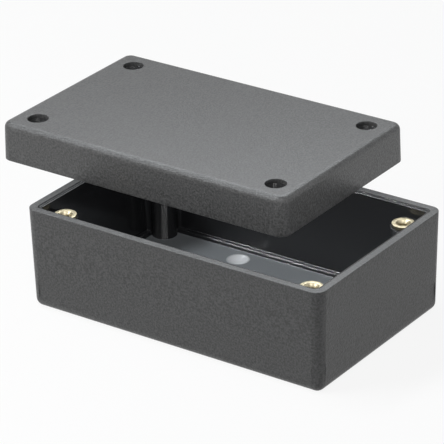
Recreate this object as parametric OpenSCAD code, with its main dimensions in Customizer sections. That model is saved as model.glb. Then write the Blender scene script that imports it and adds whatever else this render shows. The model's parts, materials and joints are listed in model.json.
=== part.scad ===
// Two-part moulded project box: a deep tray with brass screw inserts and a
// deep lid, lying askew across the open tray as if just lifted off.
//
// Frame: origin at the centre of the tray's flat underside, +X along the
// length towards the right end, +Y to the back, +Z up. Millimetres.

/* [Tray] */
// Length of the tray at its rim
box_len = 105; // [90:1:140]
// Width of the tray at its rim
box_wid = 66; // [58:1:90]
// Height of the tray from underside to rim
tray_h = 32.6; // [24:0.2:50]
// Draft of the tray's outer walls, in degrees
tray_draft = 1.4; // [0.5:0.1:2]
// Radius of the tray's bottom edge and of its upright corners at the bottom
tray_foot_r = 2.6; // [1.5:0.1:3]
// Thickness of the tray wall at the rim, with the rebate
wall = 3.35; // [2.4:0.05:4]
// Draft of the inner walls, in degrees
inner_draft = 1; // [0.25:0.05:1.4]
// Thickness of the tray floor
floor_t = 2.5; // [2:0.1:4]

/* [Rim joint] */
// Width of the flat outer land of the rim
land_w = 2.35; // [1.5:0.05:2.4]
// Depth of the rebate inside the land, which seats the lid's tongue
rebate_h = 0.5; // [0.3:0.05:1]
// Gap left round the tongue when the lid is closed
tongue_gap = 0.1; // [0.05:0.05:0.2]

/* [Floor] */
// Width of the ledge round the foot of the inner walls
ledge_w = 1.55; // [0.8:0.05:2.5]
// Height of that ledge above the floor
ledge_h = 1.3; // [1:0.1:2.5]
// Radius of the ledge's rounded edge
ledge_r = 0.7; // [0.3:0.05:0.8]
// Radius of the hollow fillets at the foot of the ledge and of the walls
foot_r = 0.4; // [0.2:0.05:0.6]
// Diameter of the round dished mark in the floor
dish_d = 6.6; // [4:0.1:9]
// Depth of the dished mark at its centre
dish_h = 0.9; // [0.3:0.05:1]
// Place of the dished mark, from the centre of the tray
dish_at = [-14.4, 22.3];

/* [Screw corners] */
// Screw spacing along the length
screw_x = 88; // [74:1:122]
// Screw spacing along the width
screw_y = 49; // [41:1:72]
// Diameter of the tray's corner pillars
pillar_d = 8; // [7.5:0.1:9]
// Distance from the rim down to the pillar tops
pillar_drop = 4.2; // [2:0.1:8]
// Radius of the blend between a pillar and the walls
blend_r = 1.5; // [0.8:0.1:2]

/* [Brass inserts] */
// Diameter of the insert's flange
flange_d = 7; // [6:0.1:7.4]
// Thickness of the flange
flange_t = 1; // [0.6:0.1:1.5]
// Diameter of the insert's barrel
barrel_d = 5; // [4.4:0.1:5.4]
// Length of the barrel below the flange
barrel_l = 8; // [5:0.5:12]
// Diameter of the tapped hole
tap_d = 2.5; // [2:0.1:3]
// Diameter of the countersink at its mouth
sink_d = 4.4; // [3.4:0.1:5]

/* [Lid] */
// Height of the lid from mouth to top
lid_h = 12.4; // [9:0.2:20]
// Draft of the lid's outer walls, in degrees
lid_draft = 1.6; // [0.5:0.1:2]
// Radius of the lid's top edge
lid_edge_r = 2; // [1:0.1:2.4]
// Thickness of the lid's top
lid_t = 2.5; // [2:0.1:4]
// Diameter of the lid's screw bosses
boss_d = 8.6; // [8.4:0.1:9]
// Diameter of the screw-head recess
recess_d = 6.5; // [5.6:0.1:7]
// Depth of the screw-head recess
recess_h = 6; // [3:0.5:7]
// Diameter of the screw hole below the recess
hole_d = 3.4; // [3.2:0.1:4]
// Place of the lid's centre as it lies askew, from the tray's centre
lid_at = [-27.6, 23.2];

/* [Hidden] */
$fn = 64;
// Steps in the section of a rounded edge
edge_steps = 6;
black = [0.14, 0.14, 0.145];
brass = [0.80, 0.69, 0.42];
// Radius of the upright corners at the rim, shared by tray and lid mouth
rim_r = tray_foot_r + tray_h * tan(tray_draft);
// Tray plan at its underside, where the draft makes it smallest
foot_len = box_len - 2 * tray_h * tan(tray_draft);
foot_wid = box_wid - 2 * tray_h * tan(tray_draft);
// Height of the tray's ledge top and of its pillar tops
ledge_z = floor_t + ledge_h;
pillar_z = tray_h - pillar_drop;
// Inner walls: half sizes and corner radius at the rim
in_len = box_len - 2 * wall;
in_wid = box_wid - 2 * wall;
in_r = 1.5;
// Loss of the inner half sizes from the rim down to the ledge
in_loss = (tray_h - ledge_z) * tan(inner_draft);
// Half sizes of the floor inside the ledge
floor_len = in_len - 2 * in_loss - 2 * ledge_w;
floor_wid = in_wid - 2 * in_loss - 2 * ledge_w;
// Tongue that runs round under the lid's mouth
tongue_out = land_w + tongue_gap;
tongue_h = rebate_h - tongue_gap;
// Lid mouth height as the tongue rests on the tray's rim
mouth_z = tray_h + tongue_h;
// Radius of the ball that cuts the dished mark
dish_ball = (pow(dish_d / 2, 2) + pow(dish_h, 2)) / (2 * dish_h);

// ---------- drafted blocks with rounded corners ----------

// Points along an arc about c, from angle a to angle b in n steps
function arc(c, r, a, b, n) =
    [for (i = [0:n]) c + r * [cos(a + (b - a) * i / n), sin(a + (b - a) * i / n)]];

// Right half of a wall's section: c to the corner axis, r0 the corner radius
// at z = 0, h high, leaning out by draft, with an edge radius e at z = 0. With
// f it flares out by that radius at the top and has a neck n above.
function half_section(c, r0, h, draft, e, f = 0, n = 0) =
    let (x0 = c + r0 + e * tan(draft) - e / cos(draft),
         x1 = c + r0 + (h - f) * tan(draft) + f)
    concat(e > 0 ? arc([x0, e], e, -90, -draft, edge_steps) : [[x0, 0]],
           f > 0 ? arc([x1, h - f], f, 180, 90, edge_steps) : [[x1, h]],
           n > 0 ? [[x1, h + n]] : []);

// The same section on both sides of the middle
module full_section(c, r0, h, draft, e, f, n) {
    right = half_section(c, r0, h, draft, e, f, n);
    k = len(right);
    polygon(concat(right, [for (i = [1:k]) [-right[k - i][0], right[k - i][1]]]));
}

// Block whose plan at z = 0 is l0 by w0 with corner radius r0. Its corner
// axes stay put and the radius grows with height, so every wall has the draft.
module drafted_block(l0, w0, r0, h, draft, e = 0, f = 0, n = 0) {
    cx = l0 / 2 - r0;
    cy = w0 / 2 - r0;
    union() {
        rotate([90, 0, 0])
            linear_extrude(height = 2 * cy, center = true)
                full_section(cx, r0, h, draft, e, f, n);
        rotate([90, 0, 90])
            linear_extrude(height = 2 * cx, center = true)
                full_section(cy, r0, h, draft, e, f, n);
        for (sx = [-1, 1], sy = [-1, 1])
            translate([sx * cx, sy * cy, 0])
                rotate_extrude()
                    polygon(concat([[0, 0]], half_section(0, r0, h, draft, e, f, n),
                                   [[0, h + n]]));
    }
}

// Plan of a rectangle with round corners
module round_rect(l, w, r) {
    union() {
        square([l - 2 * r, w], center = true);
        square([l, w - 2 * r], center = true);
        for (sx = [-1, 1], sy = [-1, 1])
            translate([sx * (l / 2 - r), sy * (w / 2 - r)])
                circle(r = r);
    }
}

// ---------- screw corners ----------

// Plan of a round post that blends into both walls of its corner. The post
// stands at the origin, the corner lies towards +X and +Y, and wx and wy are
// the greatest distances to the walls' faces.
module corner_post(d, wx, wy) {
    into = 1;
    reach = d / 2 + blend_r - 0.04;
    bx = sqrt(pow(reach, 2) - pow(wy - blend_r, 2));
    by = sqrt(pow(reach, 2) - pow(wx - blend_r, 2));
    union() {
        circle(d = d);
        square([wx + into, wy + into]);
        polygon(concat([[0, 0]],
                       arc([-bx, wy - blend_r], blend_r, -atan2(wy - blend_r, bx), 90, 5),
                       [[-bx, wy + into], [0, wy + into]]));
        polygon(concat([[0, 0]],
                       arc([wx - blend_r, -by], blend_r, 180 - atan2(by, wx - blend_r), 0, 5),
                       [[wx + into, -by], [wx + into, 0]]));
    }
}

// Children at the four screw corners, mirrored so that +X +Y is outwards
module screw_corners() {
    for (sx = [0, 1], sy = [0, 1])
        mirror([sx, 0, 0])
            mirror([0, sy, 0])
                translate([screw_x / 2, screw_y / 2, 0])
                    children();
}

// ---------- tray ----------

module base() {
    half_l = in_len / 2 - pillar_drop * tan(inner_draft);
    half_w = in_wid / 2 - pillar_drop * tan(inner_draft);
    color(black)
        difference() {
            union() {
                difference() {
                    drafted_block(foot_len, foot_wid, tray_foot_r, tray_h,
                                  tray_draft, tray_foot_r);
                    // Inside of the walls, above the ledge
                    translate([0, 0, ledge_z])
                        drafted_block(in_len - 2 * in_loss, in_wid - 2 * in_loss,
                                      in_r - in_loss, tray_h - ledge_z + 1, inner_draft,
                                      foot_r);
                    // Floor inside the ledge, whose edge is rounded
                    translate([0, 0, floor_t])
                        drafted_block(floor_len, floor_wid, 0.8, ledge_h, inner_draft,
                                      foot_r, ledge_r, 0.7);
                }
                // Corner pillars
                translate([0, 0, floor_t - 1])
                    linear_extrude(height = pillar_z - floor_t + 1)
                        screw_corners()
                            corner_post(pillar_d, half_l - screw_x / 2,
                                        half_w - screw_y / 2);
            }
            // Rebate inside the rim's land
            translate([0, 0, tray_h - rebate_h])
                linear_extrude(height = rebate_h + 1)
                    round_rect(box_len - 2 * land_w, box_wid - 2 * land_w, 1.8);
            // Blind pockets for the inserts
            screw_corners()
                translate([0, 0, pillar_z - barrel_l - 0.5])
                    cylinder(h = barrel_l + 2, d = barrel_d);
            // Dished mark in the floor: the foot of a large ball
            translate([dish_at[0], dish_at[1], floor_t - dish_h])
                intersection() {
                    translate([0, 0, dish_ball])
                        sphere(r = dish_ball);
                    cylinder(h = dish_h + 0.2, d = dish_d + 1);
                }
        }
}

// ---------- inserts ----------

// Flanged brass bush with a tapped hole right through, standing on its flange
module insert_bush() {
    color(brass)
        rotate_extrude()
            polygon([[tap_d / 2, -barrel_l], [barrel_d / 2 - 0.3, -barrel_l],
                     [barrel_d / 2, -barrel_l + 0.3], [barrel_d / 2, 0],
                     [flange_d / 2, 0], [flange_d / 2, flange_t - 0.2],
                     [flange_d / 2 - 0.2, flange_t], [sink_d / 2, flange_t],
                     [tap_d / 2, flange_t - (sink_d - tap_d) / 2]]);
}

module insert_at(sx, sy) {
    translate([sx * screw_x / 2, sy * screw_y / 2, pillar_z])
        insert_bush();
}

module brass_insert_front_left() {
    insert_at(-1, -1);
}

module brass_insert_front_right() {
    insert_at(1, -1);
}

module brass_insert_back_left() {
    insert_at(-1, 1);
}

module brass_insert_back_right() {
    insert_at(1, 1);
}

// ---------- lid ----------

// Lid with its mouth at z = 0, opening downwards
module lid_shape() {
    top_len = box_len - 2 * lid_h * tan(lid_draft);
    top_wid = box_wid - 2 * lid_h * tan(lid_draft);
    top_r = rim_r - lid_h * tan(lid_draft);
    wall_in = wall - tongue_gap;
    hollow_h = lid_h - lid_t;
    loss = hollow_h * tan(inner_draft);
    half_l = box_len / 2 - wall_in;
    half_w = box_wid / 2 - wall_in;
    difference() {
        union() {
            difference() {
                union() {
                    translate([0, 0, lid_h])
                        mirror([0, 0, 1])
                            drafted_block(top_len, top_wid, top_r, lid_h,
                                          lid_draft, lid_edge_r);
                    // Tongue
                    translate([0, 0, -tongue_h])
                        linear_extrude(height = tongue_h + 1)
                            round_rect(box_len - 2 * tongue_out,
                                       box_wid - 2 * tongue_out, 1.7);
                }
                // Hollow
                translate([0, 0, hollow_h])
                    mirror([0, 0, 1])
                        drafted_block(box_len - 2 * wall_in - 2 * loss,
                                      box_wid - 2 * wall_in - 2 * loss,
                                      in_r - loss, hollow_h + tongue_h + 1, inner_draft);
            }
            // Screw bosses
            linear_extrude(height = hollow_h + 1)
                screw_corners()
                    corner_post(boss_d, half_l - screw_x / 2, half_w - screw_y / 2);
        }
        screw_corners() {
            // Screw hole
            translate([0, 0, -1])
                cylinder(h = lid_h + 2, d = hole_d);
            // Screw-head recess
            translate([0, 0, lid_h - recess_h])
                cylinder(h = recess_h + 1, d = recess_d);
        }
    }
}

module lid() {
    color(black)
        translate([lid_at[0], lid_at[1], mouth_z])
            lid_shape();
}

base();
brass_insert_front_left();
brass_insert_front_right();
brass_insert_back_left();
brass_insert_back_right();
lid();
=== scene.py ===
"""Looks of a two-part moulded project box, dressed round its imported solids.

The tray and the lid keep their solids and get rounded arrises and a moulded
black finish: a fine matt grain outside, a polished face inside. The four screw
inserts are turned again with their threads, knurls and broken edges.
All lengths are in metres and all angles in degrees unless said otherwise.
"""

from __future__ import annotations

import json
import logging
import math
from dataclasses import dataclass, field
from enum import Enum
from typing import Any, Mapping, Union

import bpy
import numpy as np
from mathutils import Matrix, Quaternion, Vector

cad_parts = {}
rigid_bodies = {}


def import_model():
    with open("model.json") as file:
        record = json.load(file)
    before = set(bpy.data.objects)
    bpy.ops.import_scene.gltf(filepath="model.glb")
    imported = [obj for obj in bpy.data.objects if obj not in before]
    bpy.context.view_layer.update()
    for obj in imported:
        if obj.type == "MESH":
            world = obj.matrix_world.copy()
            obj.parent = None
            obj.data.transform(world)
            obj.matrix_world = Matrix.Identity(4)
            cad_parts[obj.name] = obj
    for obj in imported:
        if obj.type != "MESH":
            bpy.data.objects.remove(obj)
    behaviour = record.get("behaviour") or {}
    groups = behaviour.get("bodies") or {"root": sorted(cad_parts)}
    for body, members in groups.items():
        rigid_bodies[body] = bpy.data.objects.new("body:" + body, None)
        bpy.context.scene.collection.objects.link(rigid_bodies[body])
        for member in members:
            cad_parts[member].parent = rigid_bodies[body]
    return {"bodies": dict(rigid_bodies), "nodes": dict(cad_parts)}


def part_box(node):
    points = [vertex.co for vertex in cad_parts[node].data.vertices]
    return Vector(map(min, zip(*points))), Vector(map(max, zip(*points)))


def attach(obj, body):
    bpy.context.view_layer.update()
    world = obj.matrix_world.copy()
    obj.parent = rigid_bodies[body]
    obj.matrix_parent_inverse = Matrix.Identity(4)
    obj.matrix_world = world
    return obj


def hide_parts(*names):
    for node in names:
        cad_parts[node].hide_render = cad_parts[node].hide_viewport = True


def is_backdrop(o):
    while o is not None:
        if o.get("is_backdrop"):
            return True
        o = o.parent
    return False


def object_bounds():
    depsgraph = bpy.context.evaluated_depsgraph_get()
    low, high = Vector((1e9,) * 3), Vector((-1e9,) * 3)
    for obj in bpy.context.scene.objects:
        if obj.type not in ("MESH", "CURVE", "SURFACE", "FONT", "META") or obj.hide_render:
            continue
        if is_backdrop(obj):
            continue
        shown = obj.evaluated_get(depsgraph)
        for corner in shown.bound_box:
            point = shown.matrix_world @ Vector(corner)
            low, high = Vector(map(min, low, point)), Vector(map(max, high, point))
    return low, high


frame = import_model()

MM = 0.001
SAME = 1e-9  # lengths closer than this are equal
log = logging.getLogger("project_box")

Colour = tuple[float, float, float]
Point = tuple[float, float, float]
Number = Union["Value", float, int]
Owner = Union[bpy.types.Material, bpy.types.World]

WHITE: Colour = (1.0, 1.0, 1.0)
WARM: Colour = (1.0, 0.97, 0.93)
COOL: Colour = (0.93, 0.97, 1.0)


class Shell(Enum):
    """The two moulded shells, by the name of their solid."""

    TRAY = "base"
    LID = "lid"


class Slot(Enum):
    """Material slots of the record, by name; no piece here takes its finish from them."""

    BRASS = "brass"


class Reach(Enum):
    """What a lamp's light shows in."""

    ALL = "all"
    GLOSS = "gloss"
    MATT = "matt"


# ---------------------------------------------------------------- shaders


class Value:
    """A number that varies over a surface, so that node maths reads as maths."""

    def __init__(self, shader: "Shader", socket: bpy.types.NodeSocket) -> None:
        """Wraps an output socket of one shader's node tree."""
        self.shader = shader
        self.socket = socket

    def _math(self, operation: str, *terms: Number) -> "Value":
        """Adds one Math node.

        Args:
            operation: Name of the Math node's operation.
            terms: Its inputs in order, as numbers or other values.

        Returns:
            The node's output as a new value.
        """
        inputs = dict(enumerate(terms))
        return self.shader.value("ShaderNodeMath", {"operation": operation}, inputs)

    def __add__(self, other: Number) -> "Value":
        """Sum of two values."""
        return self._math("ADD", self, other)

    def __radd__(self, other: Number) -> "Value":
        """Sum with a plain number on the left."""
        return self._math("ADD", other, self)

    def __sub__(self, other: Number) -> "Value":
        """Difference of two values."""
        return self._math("SUBTRACT", self, other)

    def __rsub__(self, other: Number) -> "Value":
        """Difference from a plain number on the left."""
        return self._math("SUBTRACT", other, self)

    def __mul__(self, other: Number) -> "Value":
        """Product of two values."""
        return self._math("MULTIPLY", self, other)

    def __rmul__(self, other: Number) -> "Value":
        """Product with a plain number on the left."""
        return self._math("MULTIPLY", other, self)

    def __abs__(self) -> "Value":
        """Size of the value without its sign."""
        return self._math("ABSOLUTE", self)

    def root(self) -> "Value":
        """Square root of the value."""
        return self._math("SQRT", self)

    def sine(self) -> "Value":
        """Sine of the value, in radians."""
        return self._math("SINE", self)

    def above(self, edge: float, soft: float) -> "Value":
        """Ramp from 0 to 1.

        Args:
            edge: Where the ramp is half way up.
            soft: Width over which it rises.

        Returns:
            0 below the edge and 1 above it.
        """
        inputs = {"Value": self, "From Min": edge - soft / 2, "From Max": edge + soft / 2}
        return self.shader.value("ShaderNodeMapRange", {"clamp": True}, inputs)


class Shader:
    """The node tree of a material or of the world."""

    def __init__(self, owner: Owner, output: str = "ShaderNodeOutputMaterial") -> None:
        """Empties the owner's node tree and gives it an output node.

        Args:
            owner: The material or world that holds the tree.
            output: Type of the output node.
        """
        owner.use_nodes = True
        self.owner = owner
        self.tree = owner.node_tree
        self.tree.nodes.clear()
        self.output = self.node(output)

    def node(
        self,
        kind: str,
        settings: Mapping[str, Any] | None = None,
        inputs: Mapping[Any, Any] | None = None,
    ) -> bpy.types.Node:
        """Adds any node.

        Args:
            kind: The node's type.
            settings: Properties that are set first, before the sockets.
            inputs: Values or links of its sockets, by name or number.

        Returns:
            The new node.
        """
        made = self.tree.nodes.new(kind)
        for key, setting in (settings or {}).items():
            setattr(made, key, setting)
        for key, given in (inputs or {}).items():
            self.join(made.inputs[key], given)
        return made

    def join(self, socket: bpy.types.NodeSocket, given: Any) -> None:
        """Links a value or a socket, or sets a plain number or colour.

        Args:
            socket: The input socket to feed.
            given: A Value, an output socket, a number, a colour or a vector.
        """
        if isinstance(given, Value):
            self.tree.links.new(given.socket, socket)
        elif isinstance(given, bpy.types.NodeSocket):
            self.tree.links.new(given, socket)
        elif isinstance(given, tuple) and socket.type == "RGBA":
            socket.default_value = (*given, 1.0)
        else:
            socket.default_value = given

    def value(
        self,
        kind: str,
        settings: Mapping[str, Any] | None = None,
        inputs: Mapping[Any, Any] | None = None,
        output: int | str = 0,
    ) -> Value:
        """Adds any node and wraps one of its outputs.

        Args:
            kind: The node's type.
            settings: Properties that are set first.
            inputs: Values or links of its sockets.
            output: Name or number of the output that is wanted.

        Returns:
            That output as a value.
        """
        return Value(self, self.node(kind, settings, inputs).outputs[output])

    def place(self) -> bpy.types.NodeSocket:
        """Place on the object, in metres, as a vector socket."""
        return self.node("ShaderNodeTexCoord").outputs["Object"]

    def axes(self, place: bpy.types.NodeSocket) -> tuple[Value, Value, Value]:
        """Splits a vector into its x, y and z values."""
        split = self.node("ShaderNodeSeparateXYZ", None, {0: place})
        return tuple(Value(self, split.outputs[i]) for i in range(3))

    def noise(
        self, place: bpy.types.NodeSocket, grain: float, detail: float = 2.0, rough: float = 0.5
    ) -> Value:
        """Noise over a surface.

        Args:
            place: The vector that the noise reads.
            grain: Size of one grain, in metres.
            detail: Number of finer layers.
            rough: Weight of the finer layers.

        Returns:
            The noise, from 0 to 1 about 0.5.
        """
        inputs = {"Vector": place, "Scale": 1 / grain, "Detail": detail, "Roughness": rough}
        return self.value("ShaderNodeTexNoise", None, inputs, "Fac")

    def mix(self, share: Number, low: Any, high: Any) -> bpy.types.NodeSocket:
        """Mixes two colours.

        Args:
            share: 0 for the low colour and 1 for the high one.
            low: A colour or a colour socket.
            high: A colour or a colour socket.

        Returns:
            The mixed colour's socket.
        """
        made = self.node("ShaderNodeMix", {"data_type": "RGBA"})
        self.join(made.inputs[0], share)
        self.join(made.inputs[6], low)
        self.join(made.inputs[7], high)
        return made.outputs[2]

    def bump(self, height: Number, strength: float, depth: float) -> bpy.types.NodeSocket:
        """Bumped normal.

        Args:
            height: Height over the surface, 0 to 1.
            strength: Share of the effect, constant.
            depth: Distance between height 0 and 1, in metres.

        Returns:
            The normal's socket.
        """
        inputs = {"Height": height, "Strength": strength, "Distance": depth}
        return self.node("ShaderNodeBump", None, inputs).outputs["Normal"]

    def principled(self, inputs: Mapping[str, Any]) -> bpy.types.Material:
        """Ends the tree in a Principled shader.

        Args:
            inputs: Values or links of the shader's sockets.

        Returns:
            The finished material.
        """
        surface = self.node("ShaderNodeBsdfPrincipled", None, inputs)
        self.join(self.output.inputs["Surface"], surface.outputs[0])
        return self.owner

    def seen_white(self, lit: bpy.types.Node, white: bpy.types.Node, share: float) -> Owner:
        """Ends the tree in a plain white for the eye, for gloss and through glass.

        Args:
            lit: Shader that the other rays meet.
            white: Shader that is added for the eye, gloss and glass.
            share: Share of the white there.

        Returns:
            The finished owner of the tree.
        """
        path = self.node("ShaderNodeLightPath")
        rays = ("Is Camera Ray", "Is Glossy Ray", "Is Transmission Ray")
        eye, gloss, glass = (Value(self, path.outputs[ray]) for ray in rays)
        inputs = {0: (eye + gloss + glass) * share, 1: lit.outputs[0], 2: white.outputs[0]}
        blend = self.node("ShaderNodeMixShader", None, inputs)
        self.join(self.output.inputs["Surface"], blend.outputs[0])
        return self.owner


@dataclass(frozen=True)
class Region:
    """An upright block in which a face of a shell has a finish of its own."""

    low: Point
    high: Point

    def share(self, shader: Shader, place: bpy.types.NodeSocket, soft: float) -> Value:
        """Share of the block at each place.

        The share is the product, over the three axes, of a ramp that falls
        where the distance from the block's middle passes half its size.

        Args:
            shader: The shader that gets the nodes.
            place: Vector socket of the place.
            soft: Width of the ramps.

        Returns:
            1 inside the block and 0 outside.
        """
        inside: Value | None = None
        for axis, least, most in zip(shader.axes(place), self.low, self.high):
            off_middle = abs(axis - (least + most) / 2)
            held = 1 - off_middle.above((most - least) / 2, soft)
            inside = held if inside is None else inside * held
        return inside


@dataclass(frozen=True)
class Post:
    """Upright round posts at the four corners of a shell's middle."""

    middle: tuple[float, float]
    spacing: tuple[float, float]
    radius: float

    def share(self, shader: Shader, place: bpy.types.NodeSocket, soft: float) -> Value:
        """Share of the nearest post at each place.

        The distances from the middle lose half the spacing, which folds the
        four posts into one; the share falls where the root of the sum of their
        squares passes the radius.

        Args:
            shader: The shader that gets the nodes.
            place: Vector socket of the place.
            soft: Width of the ramp.

        Returns:
            1 inside a post and 0 outside.
        """
        x, y, _ = shader.axes(place)
        dx = abs(x - self.middle[0]) - self.spacing[0] / 2
        dy = abs(y - self.middle[1]) - self.spacing[1] / 2
        return 1 - (dx * dx + dy * dy).root().above(self.radius, soft)


@dataclass(frozen=True)
class FloorZones:
    """Parts of the tray's inside that have a finish of their own, two of them with painted light: a
    painted sheen on the matt floor and a painted highlight in the dish.
    """

    matt: Region
    satin: Region
    mark: Post


@dataclass(frozen=True)
class MouldedBlack:
    """Black moulded plastic: fine matt grain outside, polished face inside, and painted light on
    the tray's floor.
    """

    crests: Colour = (0.056, 0.0565, 0.057)
    pits: Colour = (0.022, 0.0222, 0.0225)
    polished: Colour = (0.019, 0.0195, 0.021)
    # Painted sheen: the tray's floor is the same black plastic, painted mid grey to stand in for
    # light falling on it.
    floor: Colour = (0.180, 0.191, 0.200)
    # Painted highlight: the dish in the tray's floor is painted pale to stand in for a lamp's
    # reflection in it.
    mark: Colour = (0.64, 0.65, 0.66)
    grained_rough: float = 0.40
    polished_rough: float = 0.17
    floor_rough: float = 0.42
    foot_rough: float = 0.20
    refraction: float = 1.47
    grain: float = 0.6 * MM  # size of one grain
    grain_depth: float = 0.20 * MM  # from its pits to its crests
    grain_strength: float = 0.6
    grain_held_back: float = 0.99  # share of its height that polishing takes
    cloud: float = 9 * MM  # size of a faint patch of other roughness
    cloud_share: float = 0.05
    ring: float = 0.25 * MM  # pitch of the rings turned on the posts
    ring_share: float = 0.3
    soft: float = 0.1 * MM  # width over which one finish meets the next
    dish_highlight_soft: float = 0.8 * MM  # the same at the rim of the painted highlight in the dish

    def material(
        self, name: str, inside: Region, posts: Post, floor: FloorZones | None
    ) -> bpy.types.Material:
        """Builds the finish of one shell.

        Colour and roughness run from the grained to the polished finish by the
        share of the inside. On a floor they run on to its satin ledge, its
        matt face and its dish, each by its own share; the matt face's mid grey
        is a painted sheen and the dish's pale colour is a painted highlight.
        The grain's height is held back inside, where the posts get fine turned
        rings instead.

        Args:
            name: Name of the material.
            inside: Block that holds the polished faces.
            posts: The screw pillars or bosses.
            floor: The floor's zones, if the shell has a floor.

        Returns:
            The finished material.
        """
        shader = Shader(bpy.data.materials.new(name))
        place = shader.place()
        polish = inside.share(shader, place, self.soft)
        grain = shader.noise(place, self.grain, rough=0.6)
        grained = shader.mix(grain.above(edge=0.5, soft=0.3), self.pits, self.crests)
        colour = shader.mix(polish, grained, self.polished)
        rough = self.grained_rough - polish * (self.grained_rough - self.polished_rough)
        if floor is not None:
            satin = floor.satin.share(shader, place, self.soft)
            rough = rough + satin * (self.foot_rough - self.polished_rough)
            matt = floor.matt.share(shader, place, self.soft)
            paler = floor.mark.share(shader, place, self.dish_highlight_soft)
            # Painted light: the matt floor is painted mid grey as a painted sheen, and the paler
            # share, the dish, is painted pale as a painted highlight.
            colour = shader.mix(matt, colour, self.floor)
            colour = shader.mix(paler * matt, colour, self.mark)
            rough = rough + matt * (1 - paler) * (self.floor_rough - self.foot_rough)
        cloud = shader.noise(place, self.cloud)
        rough = rough + (cloud - 0.5) * self.cloud_share
        rings = (shader.axes(place)[2] * (2 * math.pi / self.ring)).sine()
        turned = posts.share(shader, place, self.soft) * polish * self.ring_share
        height = grain * (1 - polish * self.grain_held_back) + rings * turned
        return shader.principled(
            {
                "Base Color": colour,
                "Roughness": rough,
                "IOR": self.refraction,
                "Normal": shader.bump(height, self.grain_strength, self.grain_depth),
            }
        )


@dataclass(frozen=True)
class TurnedBrass:
    """Bright turned brass with faint rings left by the tool."""

    colour: Colour = (0.52, 0.46, 0.32)
    dull: Colour = (0.25, 0.22, 0.15)
    rough: float = 0.38
    rough_spread: float = 0.16
    stain: float = 1.3 * MM  # size of one dull stain
    ring: float = 1.6 * MM  # scale of the wave that makes the rings
    ring_waver: float = 0.6
    ring_depth: float = 0.01 * MM
    ring_strength: float = 0.25

    def material(self, name: str, axis: tuple[float, float]) -> bpy.types.Material:
        """Builds the finish of one turned piece.

        The rings are a wave of the distance from the turning axis.

        Args:
            name: Name of the material.
            axis: Place of the upright turning axis.

        Returns:
            The finished material.
        """
        shader = Shader(bpy.data.materials.new(name))
        place = shader.place()
        moved = shader.node(
            "ShaderNodeVectorMath", {"operation": "SUBTRACT"}, {0: place, 1: (*axis, 0.0)}
        ).outputs[0]
        rings = shader.value(
            "ShaderNodeTexWave",
            {"wave_type": "RINGS", "rings_direction": "Z"},
            {"Vector": moved, "Scale": 1 / self.ring, "Distortion": self.ring_waver, "Detail": 1.0},
            "Fac",
        )
        stain = shader.noise(place, self.stain, detail=3.0, rough=0.6)
        dulled = stain.above(edge=0.56, soft=0.3)
        return shader.principled(
            {
                "Base Color": shader.mix(dulled, self.colour, self.dull),
                "Metallic": 1.0,
                "Roughness": self.rough + (stain - 0.5) * self.rough_spread,
                "Normal": shader.bump(rings, self.ring_strength, self.ring_depth),
            }
        )


@dataclass(frozen=True)
class PaperWhite:
    """Pale seamless paper under and behind the object."""

    colour: Colour = (0.80, 0.80, 0.795)
    seen: Colour = WHITE
    lift: float = 0.88  # share of that white for the eye, gloss and glass

    def material(self, name: str) -> bpy.types.Material:
        """Builds the paper, which the eye, gloss and glass see paler than it is.

        Args:
            name: Name of the material.

        Returns:
            The finished material.
        """
        shader = Shader(bpy.data.materials.new(name))
        paper = shader.node("ShaderNodeBsdfDiffuse", None, {"Color": self.colour})
        glow = shader.node("ShaderNodeEmission", None, {"Color": self.seen, "Strength": 1.0})
        return shader.seen_white(paper, glow, self.lift)


# ---------------------------------------------------------------- surfaces


def arc(
    centre: tuple[float, float], radius: float, start: float, end: float, steps: int
) -> np.ndarray:
    """Points of a circle's arc, centre plus radius times (cosine, sine).

    Args:
        centre: The circle's centre in the section's plane.
        radius: Its radius.
        start: Angle of the first point.
        end: Angle of the last point.
        steps: Number of equal steps between them.

    Returns:
        An array of steps + 1 points.
    """
    turn = np.radians(np.linspace(start, end, steps + 1))
    ring = np.stack((np.cos(turn), np.sin(turn)), axis=1)
    return np.asarray(centre) + radius * ring


def closed_grid_mesh(name: str, points: np.ndarray) -> bpy.types.Object:
    """Mesh of a grid that closes on itself both ways, as a ring does.

    Vertex (i, j) is points[i, j]; each face joins it to the next row and
    column, counted round again past the last.

    Args:
        name: Name of the piece.
        points: Array of rows by columns by 3.

    Returns:
        The new object, linked to the scene and shaded smooth.
    """
    rows, columns, _ = points.shape
    row, column = np.meshgrid(np.arange(rows), np.arange(columns), indexing="ij")
    after, right = (row + 1) % rows, (column + 1) % columns
    corners = ((row, column), (row, right), (after, right), (after, column))
    faces = np.stack([a * columns + b for a, b in corners], axis=-1).reshape(-1, 4)
    mesh = bpy.data.meshes.new(name)
    mesh.vertices.add(rows * columns)
    mesh.vertices.foreach_set("co", points.reshape(-1).astype(np.float32))
    mesh.loops.add(faces.size)
    mesh.loops.foreach_set("vertex_index", faces.reshape(-1).astype(np.int32))
    mesh.polygons.add(len(faces))
    mesh.polygons.foreach_set("loop_start", np.arange(0, faces.size, 4, dtype=np.int32))
    mesh.polygons.foreach_set("use_smooth", np.ones(len(faces), dtype=bool))
    mesh.update(calc_edges=True)
    mesh.validate()
    made = bpy.data.objects.new(name, mesh)
    bpy.context.scene.collection.objects.link(made)
    return made


# ---------------------------------------------------------------- pieces


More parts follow.
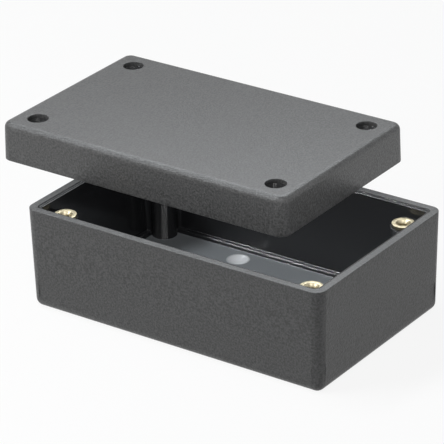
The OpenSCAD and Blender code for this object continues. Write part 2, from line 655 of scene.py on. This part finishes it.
@dataclass
class ShellDress:
    """One moulded shell, kept as its solid and given broken arrises."""

    shell: Shell
    finish: MouldedBlack
    spacing: tuple[float, float]
    wall: float = 2.3 * MM  # from the shell's sides to its polished block
    skin: float = 1.4 * MM  # from its closed face to that block
    rebate: float = 0.3 * MM  # from the tray's rim down to it
    floor_inset: float = 5.4 * MM  # from the tray's sides to the matt floor
    floor_top: float = 2.62 * MM  # height up to which the floor is matt and carries its painted sheen
    foot_top: float = 4.3 * MM  # height up to which the ledge is satin
    post_radius: float = 4.4 * MM
    # Place and size of the dish, which is painted pale as a painted highlight.
    dish_highlight_from_middle: tuple[float, float] = (-14.4 * MM, 22.3 * MM)
    dish_highlight_radius: float = 3.45 * MM
    arris: float = 0.2 * MM
    arris_steps: int = 3
    sharp_above: float = 38.0  # angle past which an edge counts as sharp
    seam: float = 0.002 * MM  # points closer than this are one
    flat_below: float = 0.5  # angle below which two faces are one plane

    def build(self) -> bpy.types.Object:
        """Rounds the arrises and lays on the finish.

        Returns:
            The shell's own object.
        """
        solid = frame["nodes"][self.shell.value]
        weld = solid.modifiers.new("seam_weld", "WELD")
        weld.merge_threshold = self.seam
        facets = solid.modifiers.new("flat_faces", "DECIMATE")
        facets.decimate_type = "DISSOLVE"
        facets.angle_limit = math.radians(self.flat_below)
        edge = solid.modifiers.new("arris", "BEVEL")
        edge.width = self.arris
        edge.segments = self.arris_steps
        edge.limit_method = "ANGLE"
        edge.angle_limit = math.radians(self.sharp_above)
        edge.use_clamp_overlap = False
        edge.harden_normals = True
        self.dress(solid)
        return solid

    def block(self, inset: float, foot: float, head: float) -> Region:
        """Upright block inside the shell.

        Args:
            inset: Distance of its sides from the shell's sides.
            foot: Height of its foot above the shell's foot.
            head: Distance of its head below the shell's top.

        Returns:
            The block as a region.
        """
        low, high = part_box(self.shell.value)
        return Region(
            (low[0] + inset, low[1] + inset, low[2] + foot),
            (high[0] - inset, high[1] - inset, high[2] - head),
        )

    def floor_zones(self, middle: tuple[float, float]) -> FloorZones:
        """Zones of the tray's floor.

        Args:
            middle: The shell's middle, from which the dish's painted highlight is placed.

        Returns:
            The matt floor with its painted sheen, the satin ledge round it and the
            painted highlight in the dish.
        """
        low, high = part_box(self.shell.value)
        tall = high[2] - low[2]
        mark = tuple(at + off for at, off in zip(middle, self.dish_highlight_from_middle))
        return FloorZones(
            matt=self.block(self.floor_inset, self.skin, tall - self.floor_top),
            satin=self.block(self.wall, self.skin, tall - self.foot_top),
            mark=Post(mark, (0.0, 0.0), self.dish_highlight_radius),
        )

    def dress(self, solid: bpy.types.Object) -> None:
        """Puts the finish into the solid's material slots.

        Args:
            solid: The shell's own object.
        """
        low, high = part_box(self.shell.value)
        middle = ((low[0] + high[0]) / 2, (low[1] + high[1]) / 2)
        posts = Post(middle, self.spacing, self.post_radius)
        if self.shell is Shell.TRAY:
            inside = self.block(self.wall, self.skin, self.rebate)
            floor = self.floor_zones(middle)
        else:
            inside = self.block(self.wall, -self.skin, self.skin)
            floor = None
        name = f"moulded_black_{self.shell.name.lower()}"
        made = self.finish.material(name, inside, posts, floor)
        for slot in solid.material_slots:
            slot.material = made


@dataclass
class ThreadedInsert:
    """Flanged brass bush, turned about an upright axis and tapped through."""

    node: str
    finish: TurnedBrass
    barrel_share: float = 5.0 / 7.0
    flange_height: float = 1.0 * MM
    bore_radius: float = 1.25 * MM
    sink_radius: float = 2.2 * MM
    thread_pitch: float = 0.5 * MM
    thread_depth: float = 0.2 * MM
    knurls: int = 24
    knurl_depth: float = 0.12 * MM
    knurl_above_foot: float = 0.5 * MM
    knurl_below_flange: float = 0.3 * MM
    broken_edge: float = 0.16 * MM
    thread_runout: float = 0.4 * MM
    thread_below_top: float = 1.3 * MM
    columns: int = 96  # points round the axis
    rows_a_turn: int = 8  # points up one turn of the thread

    def outline(self, height: float, flange_radius: float) -> np.ndarray:
        """Half section of the bush, round its wall from the bore's foot.

        Args:
            height: Height of the whole bush.
            flange_radius: Radius of the flange.

        Returns:
            Points (radius, height above the foot), closed end to end.
        """
        edge = self.broken_edge
        barrel = flange_radius * self.barrel_share
        seat = height - self.flange_height
        sink_foot = height - (self.sink_radius - self.bore_radius)
        turns = (sink_foot - edge) / self.thread_pitch
        levels = np.linspace(edge, sink_foot, int(turns * self.rows_a_turn))
        bore = np.stack((np.full_like(levels, self.bore_radius), levels), axis=1)
        top_in = arc((self.sink_radius + edge, height - edge), edge, 135, 90, 3)
        top_out = arc((flange_radius - edge, height - edge), edge, 90, 0, 4)
        under = arc((flange_radius - edge, seat + edge), edge, 0, -90, 3)
        drop = np.linspace(seat, 2 * edge, 12)
        side = np.stack((np.full_like(drop, barrel), drop), axis=1)
        foot_out = arc((barrel - 2 * edge, 2 * edge), 2 * edge, -15, -90, 3)
        foot_in = arc((self.bore_radius + edge, edge), edge, 270, 195, 2)
        return np.concatenate((bore, top_in, top_out, under, side, foot_out, foot_in))

    def build(self) -> bpy.types.Object:
        """Turns the bush where its solid stands.

        The outline is carried round the axis. In the bore the radius grows by
        a triangle wave of height over pitch less the share of a turn, which is
        a screw thread; on the barrel it shrinks by a wave of the angle, which
        is a straight knurl. Both fade out at their ends.

        Returns:
            The new piece, which stands for the solid.
        """
        low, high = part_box(self.node)
        axis = ((low[0] + high[0]) / 2, (low[1] + high[1]) / 2)
        height = high[2] - low[2]
        outline = self.outline(height, (high[0] - low[0]) / 2)
        radius, level = outline[:, :1], outline[:, 1:]
        turn = np.linspace(0, 2 * math.pi, self.columns, endpoint=False)[None, :]
        in_bore = np.isclose(radius, self.bore_radius, rtol=0, atol=SAME)
        fade = np.clip((height - self.thread_below_top - level) / self.thread_runout, 0, 1)
        fade = fade * np.clip(level / self.thread_runout - 0.5, 0, 1)
        phase = (level / self.thread_pitch - turn / (2 * math.pi)) % 1.0
        thread = self.thread_depth * (1 - np.abs(2 * phase - 1)) * in_bore * fade
        barrel = (high[0] - low[0]) / 2 * self.barrel_share
        on_side = np.isclose(radius, barrel, rtol=0, atol=SAME)
        knurl_top = height - self.flange_height - self.knurl_below_flange
        inner = (level > self.knurl_above_foot) & (level < knurl_top)
        knurl = self.knurl_depth * (0.5 - 0.5 * np.cos(self.knurls * turn)) * (on_side & inner)
        reach = radius + thread - knurl
        tall = np.broadcast_to(level + low[2], reach.shape)
        points = np.stack(
            (axis[0] + reach * np.cos(turn), axis[1] + reach * np.sin(turn), tall), axis=-1
        )
        piece = closed_grid_mesh(f"{self.node}_turned", points)
        piece.data.materials.append(self.finish.material(f"brass_{self.node}", axis))
        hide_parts(self.node)
        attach(piece, "root")
        return piece


# ---------------------------------------------------------------- studio


@dataclass
class Softbox:
    """A rectangular soft lamp that looks at one point."""

    name: str
    place: Point
    aim: Point
    width: float
    depth: float
    level: float
    tint: Colour = WHITE
    roll: float = 0.0
    reach: Reach = Reach.ALL
    lamp_side_only: bool = False

    def build(self) -> bpy.types.Object:
        """Hangs the lamp; its power is its level times pi times its area.

        With lamp_side_only its light is sampled from the lamp's side alone,
        which leaves thin highlights a little broken.

        Returns:
            The lamp's object.
        """
        lamp = bpy.data.lights.new(self.name, "AREA")
        lamp.shape = "RECTANGLE"
        lamp.size, lamp.size_y = self.width, self.depth
        lamp.energy = self.level * math.pi * self.width * self.depth
        lamp.color = self.tint
        lamp.cycles.use_multiple_importance_sampling = not self.lamp_side_only
        made = bpy.data.objects.new(self.name, lamp)
        made.location = self.place
        sight = Vector(self.aim) - Vector(self.place)
        made.rotation_mode = "QUATERNION"
        roll = Quaternion((0, 0, 1), math.radians(self.roll))
        made.rotation_quaternion = sight.to_track_quat("-Z", "Y") @ roll
        made.visible_diffuse = self.reach is not Reach.GLOSS
        made.visible_glossy = self.reach is not Reach.MATT
        bpy.context.scene.collection.objects.link(made)
        return made


@dataclass
class Studio:
    """Pale paper, soft lamps, a white room and the camera."""

    centre: Vector
    floor_half: float = 3.0
    room_level: float = 0.20
    room_tint: Colour = (0.97, 0.985, 1.0)
    paper: PaperWhite = field(default_factory=PaperWhite)
    camera_azimuth: float = 35.704
    camera_elevation: float = 25.779
    camera_roll: float = -1.426
    camera_distance: float = 0.88696
    camera_lens: float = 241.09
    camera_sensor: float = 36.0
    camera_reach: tuple[float, float] = (0.05, 20.0)  # nearest and farthest in view
    camera_off_centre: Point = (0.00831, -0.00972, 0.00324)

    def lay_floor(self) -> bpy.types.Object:
        """Lays the paper under the object.

        Returns:
            The paper's object.
        """
        half = self.floor_half
        mesh = bpy.data.meshes.new("paper_floor")
        corners = [(-half, -half, 0), (half, -half, 0), (half, half, 0), (-half, half, 0)]
        mesh.from_pydata(corners, [], [(0, 1, 2, 3)])
        floor = bpy.data.objects.new("paper_floor", mesh)
        mesh.materials.append(self.paper.material("paper_white"))
        bpy.context.scene.collection.objects.link(floor)
        floor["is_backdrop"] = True
        return floor

    def light_room(self) -> None:
        """Lights the room evenly; the eye, gloss and glass see it plain white."""
        world = bpy.data.worlds.new("white_room")
        shader = Shader(world, "ShaderNodeOutputWorld")
        kind = "ShaderNodeBackground"
        room = shader.node(kind, None, {"Color": self.room_tint, "Strength": self.room_level})
        seen = shader.node(kind, None, {"Color": WHITE, "Strength": 1.0})
        bpy.context.scene.world = shader.seen_white(room, seen, 1.0)

    def shared_lamps(self) -> tuple[Softbox, ...]:
        """Lamps that light both shells.

        Returns:
            The lamps in the order in which they are hung.
        """
        aim = tuple(self.centre)
        return (
            Softbox(
                "left_softbox", (-0.53, -0.35, 0.81), aim,
                width=1.1, depth=0.16, level=14.0, tint=COOL, roll=-42.0, lamp_side_only=True,
            ),
            Softbox(
                "front_softbox", (0.52, -0.66, 1.10), aim,
                width=0.10, depth=0.60, level=24.0,
            ),
            Softbox(
                "low_softbox", (-0.30, -0.32, 0.12), aim,
                width=0.2, depth=0.16, level=9.5, tint=WARM, reach=Reach.MATT,
            ),
            Softbox(
                "back_softbox", (-0.068, 0.113, 0.195), aim,
                width=0.25, depth=0.08, level=7.0, tint=COOL, reach=Reach.GLOSS,
            ),
        )

    def lid_lamp(self) -> Softbox:
        """Lamp that lights the lid alone, and only its matt share."""
        aim = tuple(self.centre)
        return Softbox(
            "lid_softbox", (0.56, -0.32, 0.02), aim,
            width=0.4, depth=0.2, level=26.0, reach=Reach.MATT,
        )

    def hang_lamps(self) -> list[bpy.types.Object]:
        """Hangs the lamps and links them.

        The lid casts no shadow from the shared lamps, so that they light the
        open tray under it.

        Returns:
            The lamps' objects.
        """
        lid = frame["nodes"][Shell.LID.value]
        no_shadow = bpy.data.collections.new("casts_no_shadow")
        no_shadow.objects.link(lid)
        hung = [lamp.build() for lamp in self.shared_lamps()]
        for lamp in hung:
            lamp.light_linking.blocker_collection = no_shadow
        no_shadow.collection_objects[0].light_linking.link_state = "EXCLUDE"
        lit_alone = bpy.data.collections.new("lit_alone")
        lit_alone.objects.link(lid)
        hung.append(self.lid_lamp().build())
        hung[-1].light_linking.receiver_collection = lit_alone
        return hung

    def set_camera(self) -> bpy.types.Object:
        """Places the camera by its turn, rise and distance from its aim.

        Returns:
            The camera's object.
        """
        turn, rise = math.radians(self.camera_azimuth), math.radians(self.camera_elevation)
        back = Vector(
            (math.sin(turn) * math.cos(rise), -math.cos(turn) * math.cos(rise), math.sin(rise))
        )
        aim = self.centre + Vector(self.camera_off_centre)
        right = Vector((0, 0, 1)).cross(back).normalized()
        up = back.cross(right)
        axes = Matrix((right, up, back)).transposed()
        roll = Matrix.Rotation(math.radians(self.camera_roll), 3, "Z")
        data = bpy.data.cameras.new("camera")
        data.lens = self.camera_lens
        data.sensor_width = self.camera_sensor
        data.clip_start, data.clip_end = self.camera_reach
        camera = bpy.data.objects.new("camera", data)
        camera.matrix_world = Matrix.LocRotScale(
            aim + back * self.camera_distance, axes @ roll, None
        )
        bpy.context.scene.collection.objects.link(camera)
        bpy.context.scene.camera = camera
        return camera

    def build(self) -> None:
        """Sets up paper, room, lamps and camera."""
        self.lay_floor()
        self.light_room()
        self.hang_lamps()
        self.set_camera()
        bpy.context.scene.view_settings.view_transform = "Standard"


def clear_start_objects() -> None:
    """Removes what a new file holds, so that only the frame is left."""
    kept = set(frame["nodes"].values()) | set(frame["bodies"].values())
    for each in list(bpy.data.objects):
        family = {each, each.parent, *each.children_recursive}
        if not family & kept:
            bpy.data.objects.remove(each)


def screw_spacing() -> tuple[float, float]:
    """Spacing of the screws along the length and the width, from the inserts."""
    first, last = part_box("brass_insert_front_left"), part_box("brass_insert_back_right")
    return tuple(last[0][i] - first[0][i] for i in range(2))


def main() -> None:
    """Builds the pieces in order."""
    logging.basicConfig(level=logging.INFO, format="%(name)s: %(message)s")
    clear_start_objects()
    cad_low, cad_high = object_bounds()
    black = MouldedBlack()
    for shell in Shell:
        solid = ShellDress(shell, black, screw_spacing()).build()
        log.info("dressed %s", solid.name)
    brass = TurnedBrass()
    for name in sorted(n for n in frame["nodes"] if n.startswith("brass_insert")):
        piece = ThreadedInsert(name, brass).build()
        log.info("turned %s, %d faces", piece.name, len(piece.data.polygons))
    Studio((cad_low + cad_high) / 2).build()


if __name__ == "__main__":
    main()
